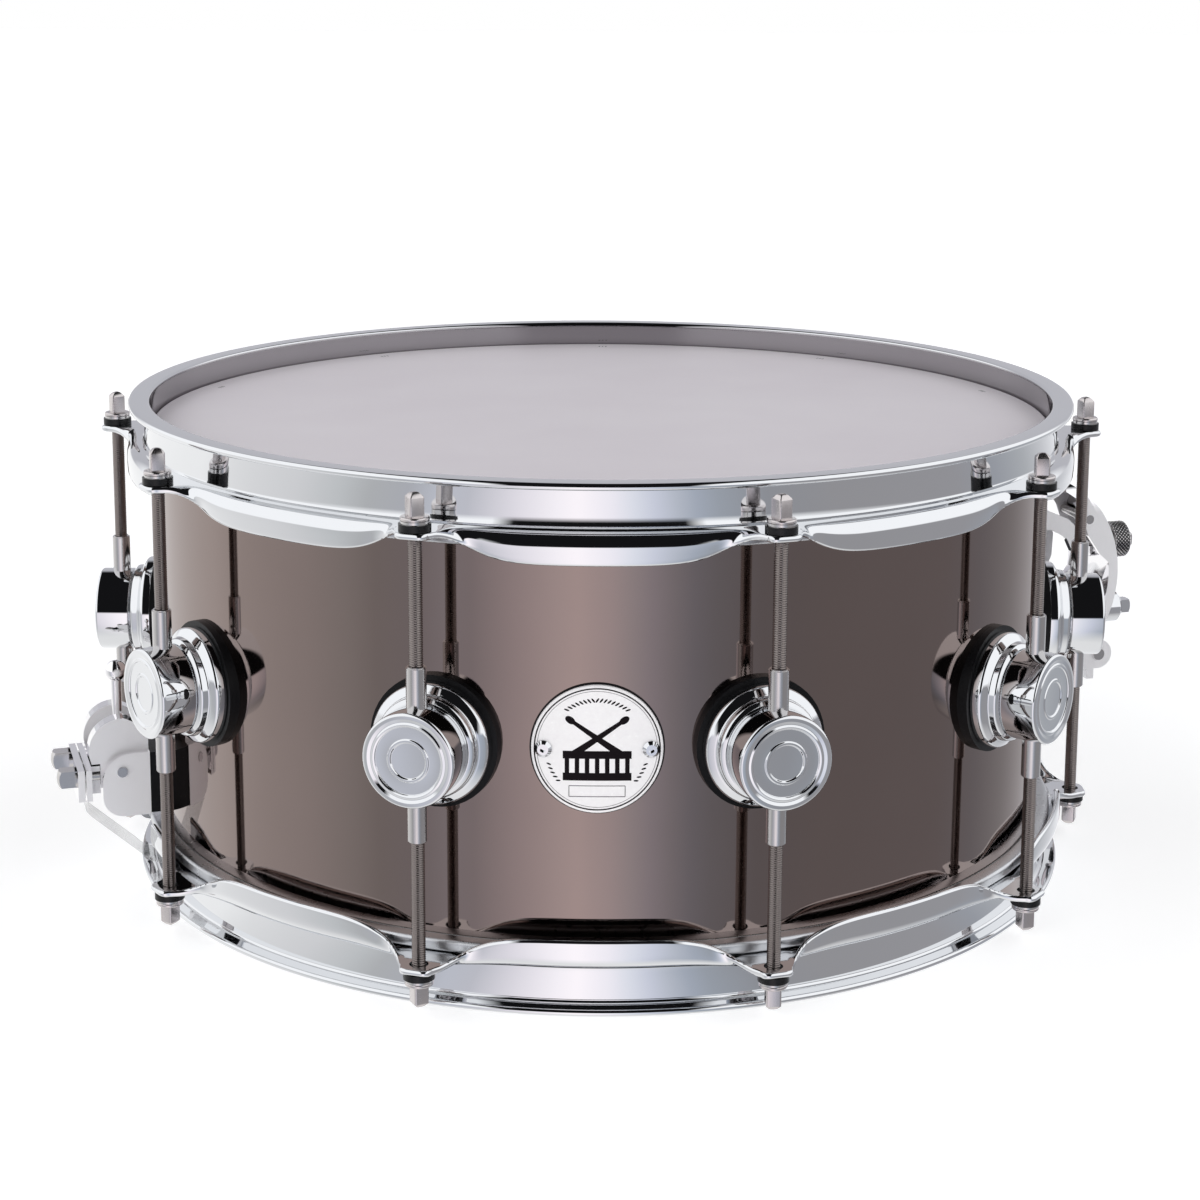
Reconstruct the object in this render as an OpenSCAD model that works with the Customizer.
// Snare drum: metal shell, ten twin-tube lugs, two flanged hoops, lever strainer and lever butt plate.
// Units are millimetres. The drum axis is Z, the lower rim rests on Z = 0 and the badge faces -Y.

/* [Shell] */
// Outside diameter of the shell
shell_diameter = 355.6; // [330:0.1:381]
// Depth of the shell between its two bearing edges
shell_depth = 165.1; // [100:0.1:204]
// Sheet thickness of the shell
shell_wall = 1.4; // [0.8:0.1:3]
// How far the flanged bearing edge turns inward
edge_flange = 5; // [2:0.1:9]
// Depth of the two snare beds in the lower bearing edge
snare_bed_depth = 1.0; // [0:0.1:3]
// Diameter of the vent hole
vent_bore = 9; // [5:0.1:16]

/* [Hoops] */
// Height of the hoop from its ear plate to its rim
hoop_rise = 16; // [12:0.1:22]
// Sheet thickness of the hoop
hoop_sheet = 2.6; // [1.6:0.1:3.5]
// Radial width of the rolled lip
lip_width = 8.5; // [4:0.1:11]
// Thickness of the rolled lip
lip_height = 2.5; // [1.5:0.1:4]
// Distance from the rim down to the free edge of the skirt
skirt_reach = 27.8; // [20:0.1:34]
// Radial reach of an ear beyond the rod axis
ear_reach = 6; // [4:0.1:9]
// Half width of an ear at its tip
ear_tip = 5.5; // [4:0.1:9]
// Half width of an ear where it leaves the skirt
ear_root = 15; // [10:0.1:20]
// Diameter of the hole in an ear
ear_hole = 6.6; // [5.5:0.1:8]
// Width of the snare gate cut through the lower hoop
gate_width = 38; // [30:0.5:60]

/* [Heads] */
// Film thickness of both heads
film = 0.3; // [0.2:0.05:0.6]
// Radial width of the flesh hoop
flesh_width = 5.2; // [3:0.1:6]
// Height of the flesh hoop
flesh_height = 4.4; // [3:0.1:8]

/* [Lugs] */
// Number of lugs around the shell
lug_count = 10; // [6:1:12]
// Distance of the tension rods from the drum axis
rod_circle = 195; // [190:0.1:202]
// Diameter of the lug base
lug_base_d = 42.6; // [30:0.1:50]
// Diameter of the round lug cap
lug_cap_d = 33; // [20:0.1:40]
// Distance from the drum axis to the face of the lug cap
lug_face = 203.5; // [199:0.1:210]
// Outside diameter of the lug tubes
tube_d = 7; // [6.4:0.1:9]
// Distance from the middle of a lug to the end of a tube
tube_reach = 30.5; // [22:0.1:40]

/* [Tension rods] */
// Diameter of the rod shank
rod_d = 4.9; // [4:0.05:6]
// Radial running clearance of a rod in its tube and bushing
rod_gap = 0.05; // [0.02:0.01:0.1]
// Width across the flats of the square rod head
head_flats = 5.3; // [5:0.1:7]
// Height of the square rod head
head_height = 8.2; // [6:0.1:11]
// Diameter of the rod collar
collar_d = 10; // [8:0.1:12]
// Diameter of the nylon bushing
bushing_d = 11; // [8:0.1:13]

/* [Badge] */
// Diameter of the round badge
badge_d = 45; // [20:0.5:60]
// Spacing of the two badge screws
badge_screw_span = 36; // [14:0.5:50]

/* [Strainer] */
// Direction of the strainer around the drum, in degrees from +X
strainer_angle = 18; // [0:1:360]
// Radius of the curved lever plate
lever_radius = 48; // [40:0.5:60]
// Thickness of the lever plate
lever_plate = 4.4; // [2:0.1:6]
// Half width of the lever plate
lever_half = 12.6; // [8:0.1:12.8]
// Diameter of the knurled knob
knob_d = 15.8; // [10:0.1:20]

/* [Snare wires] */
// Number of snare wires
wire_count = 20; // [8:1:42]
// Spacing of the snare wires
wire_pitch = 2.0; // [1.6:0.05:3]
// Outside diameter of a coiled snare wire
wire_d = 1.9; // [1:0.05:1.95]
// Half length of the wires between their end plates
wire_half = 148; // [140:0.5:152]
// Thickness of the snare straps
strap_t = 0.4; // [0.2:0.05:0.6]
// Half width of the snare straps
strap_half = 9.3; // [5:0.1:9.4]

/* [Hidden] */

$fn = 96;
shell_r = shell_diameter / 2;
total_height = shell_depth + 2 * film + 2 * 10.05;
mid_z = total_height / 2;
edge_low = mid_z - shell_depth / 2;
lug_step = 360 / lug_count;
film_in = shell_r + 0.1;
film_out = film_in + film;
collar_in = film_out + 0.2;
collar_out = collar_in + hoop_sheet;
lip_out = collar_in + lip_width;
ear_top = total_height - hoop_rise;
ear_low = ear_top - hoop_sheet;
skirt_edge = total_height - skirt_reach;
bushing_h = 2.4;
washer_h = 1.0;
collar_h = 1.4;
lug_seat = shell_r + 2.4;
lug_split = 190;
tube_bore = rod_d + 2 * rod_gap;
rod_tip = mid_z + 12;
butt_angle = strainer_angle + 180;
badge_turn = asin(badge_screw_span / 2 / shell_r);
lever_cu = 183;
lever_cz = 95;
pivot_u = 221;
pivot_z = 60.7;
butt_pin_u = 196.5;
butt_pin_z = 49;
wire_z = edge_low - film - 0.05 - wire_d / 2;
plate_top = edge_low - film - 0.15;
plate_low = plate_top - 1.6;
strap_mid = plate_low - strap_t / 2;

chrome = [0.80, 0.81, 0.83];
steel = [0.66, 0.64, 0.62];
nickel = [0.48, 0.42, 0.40];
rubber = [0.08, 0.08, 0.09];

// Puts a shape at an angle around the drum, with X pointing outward.
module at(angle) { rotate([0, 0, angle]) children(); }

// Stands a turned shape on a radial axis at height z; its own Z becomes the distance from the drum axis.
module radial(angle, z, w = 0) {
  at(angle) translate([0, w, z]) rotate([0, 90, 0]) children();
}

// Extrudes a side profile drawn in (distance from axis, height) between two widths.
module side(angle, w0, w1) {
  at(angle) translate([0, w1, 0]) rotate([90, 0, 0]) linear_extrude(w1 - w0) children();
}

module each_lug() {
  for (i = [0 : lug_count - 1]) rotate([0, 0, i * lug_step]) children();
}

// Copies a top shape to the bottom by turning the drum over.
module flip() { translate([0, 0, total_height]) mirror([0, 0, 1]) children(); }

module tube(r_out, r_in, z0, z1) {
  translate([0, 0, z0]) difference() {
    cylinder(h = z1 - z0, r = r_out, $fn = 240);
    translate([0, 0, -1]) cylinder(h = z1 - z0 + 2, r = r_in, $fn = 240);
  }
}

module shell_body(r) { cylinder(h = total_height, r = r, $fn = 240); }

// ---------------------------------------------------------------- shell

function edge_profile() = [
  [shell_r, shell_depth / 2 - 1.6],
  [shell_r - 0.5, shell_depth / 2 - 0.5],
  [shell_r - 1.6, shell_depth / 2],
  [shell_r - edge_flange, shell_depth / 2 - edge_flange + 1.6],
  [shell_r - edge_flange, shell_depth / 2 - edge_flange - 0.4],
  [shell_r - shell_wall, shell_depth / 2 - 2.2 - shell_wall]
];

module shell() {
  color(nickel) difference() {
    translate([0, 0, mid_z]) rotate_extrude($fn = 240)
      polygon(concat(edge_profile(),
        [for (i = [5 : -1 : 0]) [edge_profile()[i][0], -edge_profile()[i][1]]]));
    each_lug() for (z = [-12, 12]) radial(0, mid_z + z) translate([0, 0, 160]) cylinder(h = 30, r = 2.2);
    radial(90, mid_z) translate([0, 0, 160]) cylinder(h = 30, r = vent_bore / 2 + 1.5);
    for (s = [-1, 1]) radial(-90 + s * badge_turn, mid_z) translate([0, 0, 160]) cylinder(h = 30, r = 1.5);
    for (z = [66, 116]) radial(strainer_angle, z) translate([0, 0, 160]) cylinder(h = 30, r = 2.2);
    for (w = [-9, 9]) radial(butt_angle, 43.5, w) translate([0, 0, 160]) cylinder(h = 30, r = 2.2);
    for (a = [strainer_angle, butt_angle]) at(a)
      translate([150, 0, edge_low + snare_bed_depth - 1000]) rotate([0, 90, 0]) cylinder(h = 40, r = 1000, $fn = 720);
  }
}

module vent_grommet() {
  color(chrome) difference() {
    union() {
      radial(90, mid_z) translate([0, 0, shell_r - 3]) cylinder(h = 4.2, r = vent_bore / 2 + 1.5);
      radial(90, mid_z) translate([0, 0, shell_r - 0.4])
        cylinder(h = 1.6, r1 = vent_bore / 2 + 4, r2 = vent_bore / 2 + 2.6);
      radial(90, mid_z) translate([0, 0, shell_r - 4.2]) cylinder(h = 1.2, r = vent_bore / 2 + 3.4);
    }
    radial(90, mid_z) translate([0, 0, shell_r - 6]) cylinder(h = 12, r = vent_bore / 2);
    difference() {
      shell_body(shell_r);
      shell_body(shell_r - shell_wall);
      radial(90, mid_z) translate([0, 0, 150]) cylinder(h = 50, r = vent_bore / 2 + 1.5);
    }
  }
}

// ---------------------------------------------------------------- badge

module badge_disc(d, r0, r1) {
  difference() {
    intersection() {
      radial(-90, mid_z) translate([0, 0, 160]) cylinder(h = 40, r = d / 2);
      shell_body(r1);
    }
    shell_body(r0);
    for (s = [-1, 1]) radial(-90 + s * badge_turn, mid_z) translate([0, 0, 150]) cylinder(h = 50, r = 1.5);
  }
}

module badge_gasket() { color(rubber) badge_disc(badge_d + 0.8, shell_r, shell_r + 0.6); }

module badge_plate() { color([0.93, 0.93, 0.92]) badge_disc(badge_d, shell_r + 0.6, shell_r + 1.8); }

module badge_screws() {
  color(chrome) for (s = [-1, 1]) radial(-90 + s * badge_turn, mid_z) difference() {
    union() {
      translate([0, 0, shell_r - 6]) cylinder(h = 8, r = 1.5);
      translate([0, 0, shell_r + 1.8]) cylinder(h = 0.5, r = 2.95);
      translate([0, 0, shell_r + 2.3]) cylinder(h = 1.1, r1 = 2.95, r2 = 1.9);
      translate([0, 0, shell_r - 4.6]) cylinder(h = 3.1, r = 2.9, $fn = 6);
    }
    translate([0, 0, shell_r + 2.1]) cylinder(h = 3, r = 1.05, $fn = 6);
  }
}

// ---------------------------------------------------------------- lugs

module lug_gaskets() {
  color(rubber) difference() {
    each_lug() radial(0, mid_z) difference() {
      translate([0, 0, 172]) cylinder(h = lug_seat - 172, r = lug_base_d / 2 + 2);
      for (x = [-12, 12]) translate([x, 0, 160]) cylinder(h = 30, r = 2);
    }
    shell_body(shell_r);
  }
}

module lug_bases() {
  rb = lug_base_d / 2;
  color(chrome) each_lug() radial(0, mid_z) difference() {
    rotate_extrude() polygon([
      [0, lug_seat], [rb - 0.4, lug_seat], [rb, lug_seat + 0.5], [rb, lug_seat + 2.6],
      [rb - 0.35, lug_seat + 3.7], [rb - 1.3, lug_seat + 4.6], [rb - 2.4, lug_seat + 5.0],
      [rb - 3.0, lug_seat + 5.5], [rb - 3.3, lug_seat + 6.4], [rb - 3.35, lug_seat + 7.6],
      [rb - 3.8, lug_seat + 8.6], [rb - 4.6, lug_split - 0.6], [rb - 5.4, lug_split - 0.6],
      [rb - 5.4, lug_split], [0, lug_split]
    ]);
    for (x = [-12, 12]) translate([x, 0, 170]) cylinder(h = 18, r = 2);
  }
}

module lug_caps() {
  rc = lug_cap_d / 2;
  color(chrome) each_lug() radial(0, mid_z) difference() {
    rotate_extrude() polygon([
      [0, lug_split], [rc - 0.5, lug_split], [rc, lug_split + 0.5], [rc, lug_face - 2.2],
      [rc - 0.25, lug_face - 1.2], [rc - 0.8, lug_face - 0.5], [rc - 1.7, lug_face - 0.1],
      [rc - 2.6, lug_face], [12.7, lug_face], [12.3, lug_face - 0.7],
      [7.2, lug_face - 0.7], [6.8, lug_face - 1.3], [0, lug_face - 1.3]
    ]);
    translate([-30, 0, rod_circle]) rotate([0, 90, 0]) cylinder(h = 60, r = tube_d / 2);
  }
}

module lug_tubes() {
  color(steel) each_lug() for (s = [-1, 1])
    translate([rod_circle, 0, mid_z + (s > 0 ? 8 : -tube_reach)]) difference() {
      union() {
        cylinder(h = tube_reach - 8, r = tube_d / 2 - 0.4);
        translate([0, 0, 0.4]) cylinder(h = tube_reach - 8.8, r = tube_d / 2);
      }
      translate([0, 0, -1]) cylinder(h = tube_reach, r = tube_bore / 2);
    }
}

module lug_screws() {
  color(steel) each_lug() for (z = [-12, 12]) radial(0, mid_z + z) {
    translate([0, 0, shell_r - shell_wall - 3.2]) cylinder(h = 3.1, r = 3.6);
    translate([0, 0, shell_r - shell_wall - 1]) cylinder(h = 187 - shell_r + shell_wall + 1, r = 2);
  }
}

// ---------------------------------------------------------------- heads

module head(flat_z, drop) {
  translate([0, 0, flat_z]) cylinder(h = film, r = film_out, $fn = 240);
  tube(film_out, film_in, min(flat_z, drop), max(flat_z + 0.01, drop));
}

module batter_head() {
  color([0.86, 0.85, 0.84]) head(mid_z + shell_depth / 2, ear_low - flesh_height);
}

module batter_flesh_hoop() {
  color([0.72, 0.73, 0.75]) tube(film_out + flesh_width, film_out, ear_low - flesh_height, ear_low);
}

module snare_head() {
  color([0.88, 0.89, 0.90, 0.6]) flip() head(mid_z + shell_depth / 2, ear_low - flesh_height);
}

module snare_flesh_hoop() {
  color([0.72, 0.73, 0.75]) flip() tube(film_out + flesh_width, film_out, ear_low - flesh_height, ear_low);
}

// ---------------------------------------------------------------- hoops

function ease(t) = (1 - cos(180 * t)) / 2;

// Height of the free skirt edge at a distance from the middle of an ear.
function skirt_rise(w) = w < 7.5 ? 1 : w > 17 ? 0 : ease((17 - w) / 9.5);

// Plan half width of an ear at a distance beyond the skirt.
function ear_half(t) = ear_tip + (ear_root - ear_tip) * pow(1 - t, 2.2);

module ear_plate() {
  u0 = lip_out - 2.2;
  u1 = rod_circle + ear_reach;
  steps = 10;
  translate([0, 0, ear_low]) linear_extrude(hoop_sheet) difference() {
    polygon(concat(
      [for (i = [0 : steps]) [u0 + (u1 - 2.4 - u0) * i / steps, -ear_half(i / steps)]],
      [[u1 - 0.8, -ear_tip + 1.1], [u1, -ear_tip + 3], [u1, ear_tip - 3], [u1 - 0.8, ear_tip - 1.1]],
      [for (i = [steps : -1 : 0]) [u0 + (u1 - 2.4 - u0) * i / steps, ear_half(i / steps)]]));
    translate([rod_circle, 0]) circle(d = ear_hole, $fn = 64);
  }
}

// The skirt is cut away under each ear along a smooth curve.
module ear_arch() {
  w = [for (i = [-20 : 20]) i * 0.85];
  translate([lip_out - 2.4, 0, 0]) rotate([90, 0, 90]) linear_extrude(12)
    polygon(concat([for (x = w) [x, skirt_edge + (ear_low - skirt_edge) * skirt_rise(abs(x))]],
      [[17.1, skirt_edge - 2], [-17.1, skirt_edge - 2]]));
}

module hoop() {
  difference() {
    union() {
      rotate_extrude($fn = 240) polygon([
        [collar_in, ear_low], [lip_out - 2, ear_low], [lip_out - 1.2, ear_low - 0.6],
        [lip_out - 0.7, skirt_edge + 0.4], [lip_out - 0.3, skirt_edge],
        [lip_out + 1.6, skirt_edge], [lip_out + 1.9, skirt_edge + 0.5],
        [lip_out + 1.4, ear_low - 0.4], [lip_out + 0.6, ear_top - 0.9], [lip_out - 1, ear_top],
        [collar_out, ear_top], [collar_out, total_height - lip_height - 1.2],
        [collar_out + 1.2, total_height - lip_height], [lip_out - 0.9, total_height - lip_height],
        [lip_out - 0.2, total_height - lip_height + 0.5], [lip_out, total_height - lip_height / 2],
        [lip_out - 0.3, total_height - 0.5], [lip_out - 1.1, total_height],
        [collar_in + 1.4, total_height], [collar_in + 0.4, total_height - 0.5], [collar_in, total_height - 1.6]
      ]);
      each_lug() ear_plate();
    }
    each_lug() ear_arch();
    each_lug() translate([rod_circle, 0, ear_low - 1]) cylinder(h = hoop_sheet + 2, d = ear_hole, $fn = 64);
  }
}

module batter_hoop() { color(chrome) hoop(); }

// The snare gates are cut through the collar, the ledge and the skirt, and leave the lip whole.
module snare_hoop() {
  color(chrome) flip() difference() {
    hoop();
    for (a = [strainer_angle, butt_angle]) rotate([0, 0, a])
      translate([collar_in - 4, -gate_width / 2, skirt_edge - 4])
        cube([30, gate_width, skirt_reach + 4 - 3.2]);
  }
}

// ---------------------------------------------------------------- tension rods

module ring_stack(z0, h, r_out, r_in) {
  each_lug() translate([rod_circle, 0, z0]) difference() {
    cylinder(h = h, r = r_out);
    translate([0, 0, -1]) cylinder(h = h + 2, r = r_in);
  }
}

module rod_bushings() {
  color(rubber) {
    ring_stack(ear_top, bushing_h, bushing_d / 2, tube_bore / 2);
    flip() ring_stack(ear_top, bushing_h, bushing_d / 2, tube_bore / 2);
  }
}

module rod_washers() {
  color(steel) {
    ring_stack(ear_top + bushing_h, washer_h, bushing_d / 2 - 0.6, rod_d / 2 + 0.15);
    flip() ring_stack(ear_top + bushing_h, washer_h, bushing_d / 2 - 0.6, rod_d / 2 + 0.15);
  }
}

module rod() {
  z0 = ear_top + bushing_h + washer_h;
  translate([rod_circle, 0, 0]) {
    translate([0, 0, rod_tip]) cylinder(h = z0 - rod_tip + 0.1, r = rod_d / 2);
    translate([0, 0, z0]) cylinder(h = collar_h - 0.4, r = collar_d / 2);
    translate([0, 0, z0 + collar_h - 0.4]) cylinder(h = 0.4, r1 = collar_d / 2, r2 = collar_d / 2 - 0.5);
    intersection() {
      translate([-head_flats / 2, -head_flats / 2, z0 + 1]) cube([head_flats, head_flats, head_height + collar_h - 1]);
      translate([0, 0, z0 + collar_h + head_height - 9]) sphere(r = 9);
      translate([0, 0, z0]) cylinder(h = 20, r = head_flats / 2 * 1.28);
    }
  }
}

module rod_top(i) { color(steel) rotate([0, 0, (i - 1) * lug_step]) rod(); }
module rod_bottom(i) { color(steel) rotate([0, 0, (i - 1) * lug_step]) flip() rod(); }

// ---------------------------------------------------------------- strainer

module strainer_gasket() {
  color(rubber) difference() {
    side(strainer_angle, -15, 15) translate([170, 56]) square([11, 70]);
    shell_body(shell_r);
    for (z = [66, 116]) radial(strainer_angle, z) translate([0, 0, 160]) cylinder(h = 30, r = 2);
  }
}

module cheek_profile() {
  difference() {
    union() {
      polygon([
        [181, 127], [195, 125.5], [204, 121.5], [210, 116], [213, 108], [212.5, 98],
        [208.5, 90], [210.5, 80], [216, 67.6], [221, 67], [221, 54.4], [219, 54.4], [219, 50],
        [215.6, 50], [215.6, 54.4], [207, 55], [200, 58], [194, 57], [181, 56]
      ]);
      translate([pivot_u, pivot_z]) circle(r = 6.3);
    }
    polygon([
      [190, 118], [197, 117], [203.5, 113], [206.5, 107], [206, 101], [201.5, 93.5],
      [196, 90], [190, 90]
    ]);
    translate([pivot_u, pivot_z]) circle(r = 2.5);
  }
}

module strainer_base() {
  color(chrome) difference() {
    union() {
      for (s = [-16.5, 13]) side(strainer_angle, s, s + 3.5) cheek_profile();
      side(strainer_angle, -16.5, 16.5) translate([181, 56]) square([4, 71]);
    }
    for (z = [66, 116]) radial(strainer_angle, z) translate([0, 0, 160]) cylinder(h = 30, r = 2);
  }
}

module wall_screws(angle, z, w, u_end) {
  radial(angle, z, w) {
    translate([0, 0, shell_r - shell_wall - 3.6]) cylinder(h = 3.1, r = 3.6);
    translate([0, 0, shell_r - shell_wall - 1]) cylinder(h = u_end - shell_r + shell_wall + 1, r = 2);
  }
}

module strainer_screws() {
  color(steel) for (z = [66, 116]) wall_screws(strainer_angle, z, 0, 184.8);
}

module strainer_pin() {
  color(steel) side(strainer_angle, -17.3, 17.3) translate([pivot_u, pivot_z]) circle(r = 2.5);
}

// The lever is a curved plate with a barrel at its lower end that turns on the pin.
module strainer_lever() {
  color([0.74, 0.74, 0.75]) difference() {
    union() {
      intersection() {
        side(strainer_angle, -lever_half, lever_half) translate([lever_cu, lever_cz]) difference() {
          circle(r = lever_radius, $fn = 240);
          circle(r = lever_radius - lever_plate, $fn = 240);
          polygon([[0, 0], [100, -72], [0, -200], [-200, -200], [-200, 200], [0, 200], [66, 100]]);
        }
        lever_outline();
      }
      side(strainer_angle, -lever_half, lever_half) translate([pivot_u, pivot_z]) circle(r = 5.8);
      side(strainer_angle, -lever_half, lever_half)
        polygon([[217.4, 65], [225.8, 63.5], [224.6, 72], [219.4, 72]]);
      for (w = [-lever_half, lever_half - 2]) side(strainer_angle, w, w + 2) difference() {
        polygon([[212.5, 122], [209, 127], [215, 129.5], [222, 119], [226, 108], [226.5, 100],
          [222, 104], [216, 112.5]]);
        translate([216.4, 119.6]) circle(r = 2);
      }
      radial(strainer_angle, 107) translate([0, 0, 222]) cylinder(h = 9.4, r = 6.8);
    }
    side(strainer_angle, -20, 20) translate([pivot_u, pivot_z]) circle(r = 2.55);
    radial(strainer_angle, 107) translate([0, 0, 210]) cylinder(h = 30, r = 2.55);
    radial(strainer_angle, 77) translate([0, 0, 210]) cylinder(h = 30, r = 3);
  }
}

// Seen from the front the lever has a half-round top and straight sides.
module lever_outline() {
  radial(strainer_angle, 0) translate([0, 0, 180]) linear_extrude(60) union() {
    translate([-(134.2 - lever_half), 0]) circle(r = lever_half);
    translate([-(134.2 - lever_half), -lever_half]) square([134.2 - lever_half - 60, 2 * lever_half]);
  }
}

module strainer_cross_pin() {
  color(steel) side(strainer_angle, -lever_half, lever_half) translate([216.4, 119.6]) circle(r = 2);
}

module key_tip(u0, u1) {
  intersection() {
    translate([-2.8, -2.8, u0]) cube([5.6, 5.6, u1 - u0]);
    translate([0, 0, u1 - 8]) sphere(r = 8);
  }
}

module strainer_key_screw() {
  color(chrome) radial(strainer_angle, 77) {
    translate([0, 0, 219]) cylinder(h = 14, r = 3);
    difference() {
      translate([0, 0, 226]) cylinder(h = 10.6, r = 6.8);
      at_lever_inverse();
    }
    translate([0, 0, 236.6]) cylinder(h = 1.6, r1 = 6.8, r2 = 5.2);
    key_tip(238, 244);
  }
}

// The solid of the lever plate, in the frame of a part that stands on the radial axis at height 77.
module at_lever_inverse() {
  translate([lever_cz * -1 + 77, 0, lever_cu]) rotate([90, 0, 0])
    translate([0, 0, -30]) cylinder(h = 60, r = lever_radius, $fn = 240);
}

module strainer_knob() {
  color(steel) radial(strainer_angle, 107) {
    translate([0, 0, 219]) cylinder(h = 13, r = 2.5);
    translate([0, 0, 231.45]) cylinder(h = 1.2, r = 6.2);
    translate([0, 0, 232.6]) cylinder(h = 6.6, r = knob_d / 2);
    translate([0, 0, 239.2]) cylinder(h = 0.9, r1 = knob_d / 2, r2 = knob_d / 2 - 1);
    key_tip(240, 244);
  }
}

module strainer_carriage() {
  color([0.20, 0.20, 0.21]) side(strainer_angle, -12.95, 12.95) polygon([
    [185.05, 96], [203, 96], [207, 90], [207, 60], [203, 58], [185.05, 62]
  ]);
}

module strainer_clamp() {
  color(chrome) {
    difference() {
      side(strainer_angle, -12.95, 12.95) translate([207.05, 60]) square([3.95, 30]);
      for (w = [-11, 11]) radial(strainer_angle, 86, w) translate([0, 0, 200]) cylinder(h = 20, r = 1.5);
    }
    difference() {
      side(strainer_angle, -12.9, 12.9) translate([211.5, 67]) square([2.6, 23]);
      for (w = [-11, 11]) radial(strainer_angle, 86, w) translate([0, 0, 200]) cylinder(h = 20, r = 1.5);
    }
  }
}

module strainer_clamp_screws() {
  color(steel) for (w = [-11, 11]) radial(strainer_angle, 86, w) {
    translate([0, 0, 207.1]) cylinder(h = 8, r = 1.5);
    translate([0, 0, 214.1]) cylinder(h = 2.4, r = 1.9);
  }
}

// ---------------------------------------------------------------- butt plate

module butt_gasket() {
  color(rubber) difference() {
    side(butt_angle, -16.4, 16.4) translate([168, 31.5]) square([18, 24]);
    shell_body(shell_r);
    for (w = [-9, 9]) radial(butt_angle, 43.5, w) translate([0, 0, 160]) cylinder(h = 30, r = 2);
  }
}

module butt_cheek_profile() {
  difference() {
    polygon(concat([[186, 31.2], [196, 31.2]],
      [for (a = [-80 : 10 : 0]) [196 + 8 * cos(a), 39.2 + 8 * sin(a)]],
      [for (a = [0 : 10 : 90]) [193 + 11 * cos(a), 45 + 11 * sin(a)]],
      [[186, 56]]));
    translate([butt_pin_u, butt_pin_z]) circle(r = 2);
  }
}

module butt_housing_profile() {
  polygon(concat([[186, 42], [204.4, 42], [204.4, 51.6], [207.6, 51.6]],
    [for (a = [-20 : 10 : 80]) [196 + 12.5 * cos(a), 56.5 + 12.5 * sin(a)]],
    [[195, 69], [189, 66], [186, 60]]));
}

module butt_base() {
  color(chrome) difference() {
    union() {
      for (w = [-17.2, 13.2]) side(butt_angle, w, w + 4) butt_cheek_profile();
      side(butt_angle, -17.2, 17.2) translate([186, 31.2]) square([3, 24.8]);
      side(butt_angle, -13.2, 13.2) butt_housing_profile();
    }
    side(butt_angle, -6.5, 6.5) polygon([
      [190, 43], [203, 43], [203, 51], [215, 61], [202, 72], [190, 72]
    ]);
    side(butt_angle, -20, 20) translate([butt_pin_u, butt_pin_z]) circle(r = 2);
    for (w = [-9, 9]) radial(butt_angle, 43.5, w) translate([0, 0, 160]) cylinder(h = 30, r = 2);
  }
}

module butt_screws() {
  color(steel) for (w = [-9, 9]) wall_screws(butt_angle, 43.5, w, 189.8);
}

module butt_pin() {
  color(steel) side(butt_angle, -17.8, 17.8) translate([butt_pin_u, butt_pin_z]) circle(r = 2);
}

module butt_lever() {
  color(chrome) {
    side(butt_angle, -6.4, 6.4) translate([butt_pin_u, butt_pin_z]) difference() {
      circle(r = 5.4);
      circle(r = 2.05);
    }
    at(butt_angle) translate([196, 0, 0]) {
      translate([0, 0, 53]) cylinder(h = 8, r1 = 1.5, r2 = 1.75);
      translate([0, 0, 61]) cylinder(h = 20, r1 = 1.75, r2 = 2.1);
      translate([0, 0, 84.2]) sphere(r = 4.2);
    }
  }
}

module butt_clamp() {
  color(chrome) {
    difference() {
      union() {
        side(butt_angle, -17.8, 17.8) translate([208, 38.6]) square([2.2, 12.2]);
        side(butt_angle, -13, 13) translate([204.5, 40]) square([4, 10.8]);
      }
      for (w = [-12, 12]) radial(butt_angle, 47, w) translate([0, 0, 200]) cylinder(h = 20, r = 2);
    }
    difference() {
      side(butt_angle, -17.8, 17.8) translate([210.7, 38.6]) square([2.6, 12.2]);
      for (w = [-12, 12]) radial(butt_angle, 47, w) translate([0, 0, 200]) cylinder(h = 20, r = 2);
    }
  }
}

module butt_clamp_screws() {
  color(steel) for (w = [-12, 12]) radial(butt_angle, 47, w) {
    translate([0, 0, 204.5]) cylinder(h = 9.2, r = 2);
    translate([0, 0, 213.3]) cylinder(h = 0.8, r = 4.2);
    intersection() {
      translate([-3.2, -3.2, 213.4]) cube([6.4, 6.4, 7.4]);
      translate([0, 0, 220.8 - 7]) sphere(r = 7);
    }
  }
}

// ---------------------------------------------------------------- snare wires

module snare_wires() {
  color(chrome) at(strainer_angle) for (i = [0 : wire_count - 1])
    translate([-wire_half, (i - (wire_count - 1) / 2) * wire_pitch, wire_z])
      rotate([0, 90, 0]) cylinder(h = 2 * wire_half, r = wire_d / 2, $fn = 32);
}

module snare_end_plates() {
  w = wire_count * wire_pitch / 2 + 1;
  color(chrome) at(strainer_angle) for (s = [-wire_half - 10, wire_half])
    translate([s, -w, plate_low]) cube([10, 2 * w, 1.6]);
}

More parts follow.
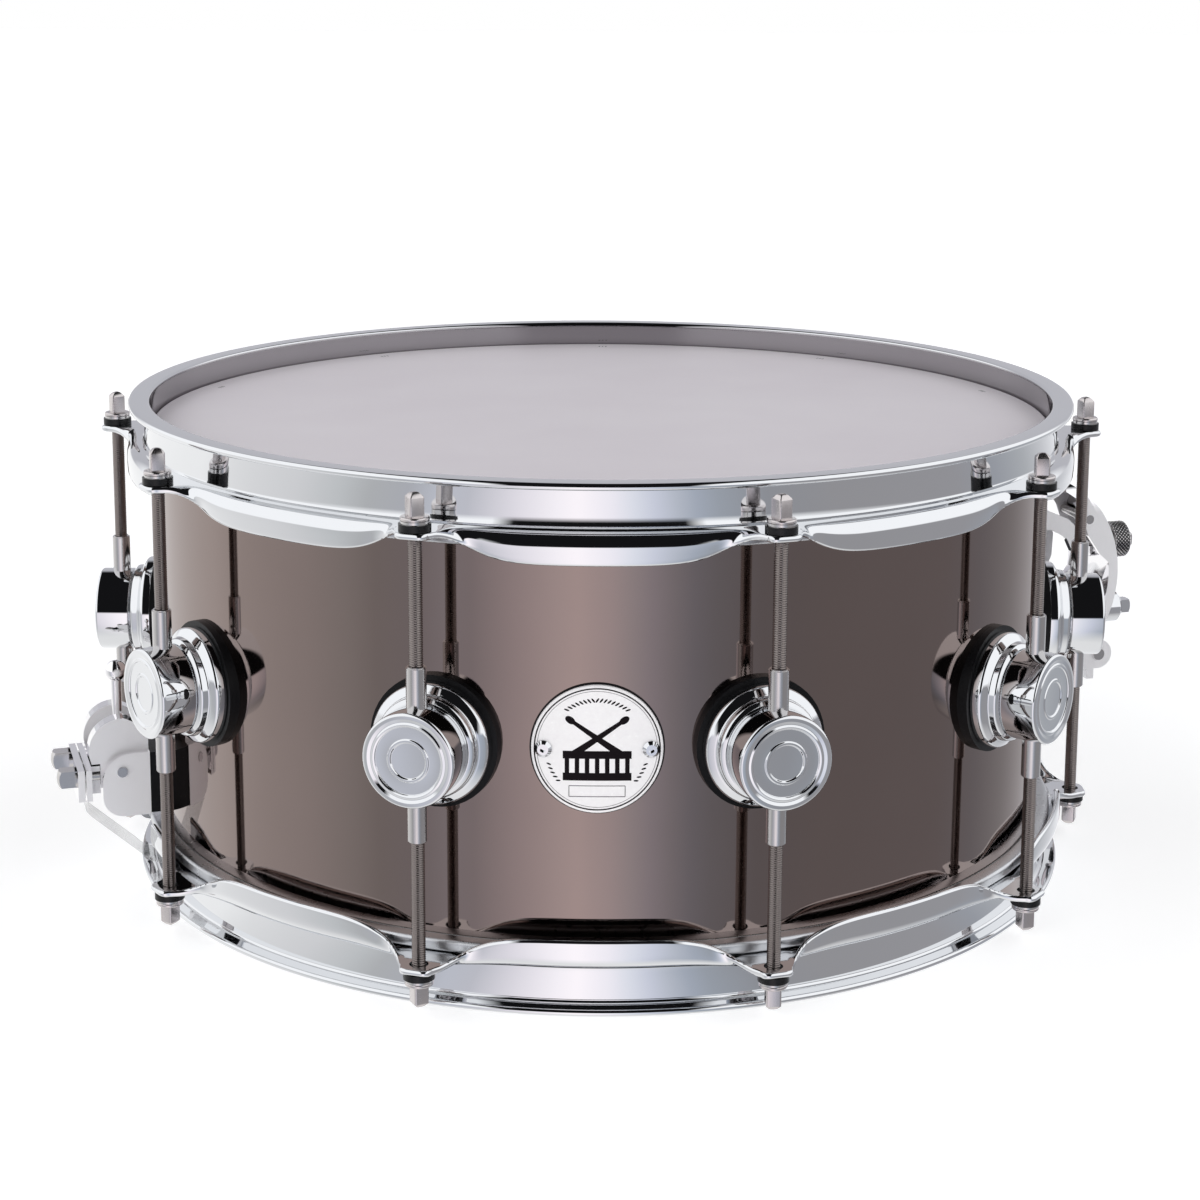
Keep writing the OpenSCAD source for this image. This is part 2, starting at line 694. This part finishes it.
// Strap route: under the end plate, out through the gate and up to the clamp.
function unit(v) = v / norm(v);
function left(v) = [-v[1], v[0]];
function miter(p, i) =
  let (n = len(p) - 1,
       a = left(unit(p[min(i + 1, n)] - p[min(i, n - 1)])),
       b = left(unit(p[max(i, 1)] - p[max(i - 1, 0)])))
  (a + b) / (1 + a * b);
module strap(path) {
  n = len(path) - 1;
  polygon(concat([for (i = [0 : n]) path[i] + miter(path, i) * strap_t / 2],
    [for (i = [n : -1 : 0]) path[i] - miter(path, i) * strap_t / 2]));
}

module snare_straps() {
  color([0.86, 0.88, 0.89, 0.7]) {
    side(strainer_angle, -strap_half, strap_half) strap([
      [wire_half + 1, strap_mid], [182, strap_mid], [186, 9.6], [189.5, 13], [207.6, 46],
      [210.2, 51.5], [211.25, 57], [211.25, 84]
    ]);
    side(butt_angle, -strap_half, strap_half) strap([
      [wire_half + 1, strap_mid], [182, strap_mid], [186, 9.6], [189.5, 13], [207.8, 29.5],
      [209.8, 32], [210.45, 35.5], [210.45, 50.6]
    ]);
  }
}

shell();
vent_grommet();
badge_gasket();
badge_plate();
badge_screws();
lug_gaskets();
lug_bases();
lug_caps();
lug_tubes();
lug_screws();
batter_head();
batter_flesh_hoop();
snare_head();
snare_flesh_hoop();
batter_hoop();
snare_hoop();
rod_washers();
rod_bushings();
strainer_gasket();
strainer_base();
strainer_screws();
strainer_pin();
strainer_lever();
strainer_cross_pin();
strainer_key_screw();
strainer_knob();
strainer_carriage();
strainer_clamp();
strainer_clamp_screws();
butt_gasket();
butt_base();
butt_screws();
butt_pin();
butt_lever();
butt_clamp();
butt_clamp_screws();
snare_wires();
snare_end_plates();
snare_straps();
rod_top(1);  // tension_rod_top_01
rod_top(2);  // tension_rod_top_02
rod_top(3);  // tension_rod_top_03
rod_top(4);  // tension_rod_top_04
rod_top(5);  // tension_rod_top_05
rod_top(6);  // tension_rod_top_06
rod_top(7);  // tension_rod_top_07
rod_top(8);  // tension_rod_top_08
rod_top(9);  // tension_rod_top_09
rod_top(10);  // tension_rod_top_10
rod_bottom(1);  // tension_rod_bottom_01
rod_bottom(2);  // tension_rod_bottom_02
rod_bottom(3);  // tension_rod_bottom_03
rod_bottom(4);  // tension_rod_bottom_04
rod_bottom(5);  // tension_rod_bottom_05
rod_bottom(6);  // tension_rod_bottom_06
rod_bottom(7);  // tension_rod_bottom_07
rod_bottom(8);  // tension_rod_bottom_08
rod_bottom(9);  // tension_rod_bottom_09
rod_bottom(10);  // tension_rod_bottom_10
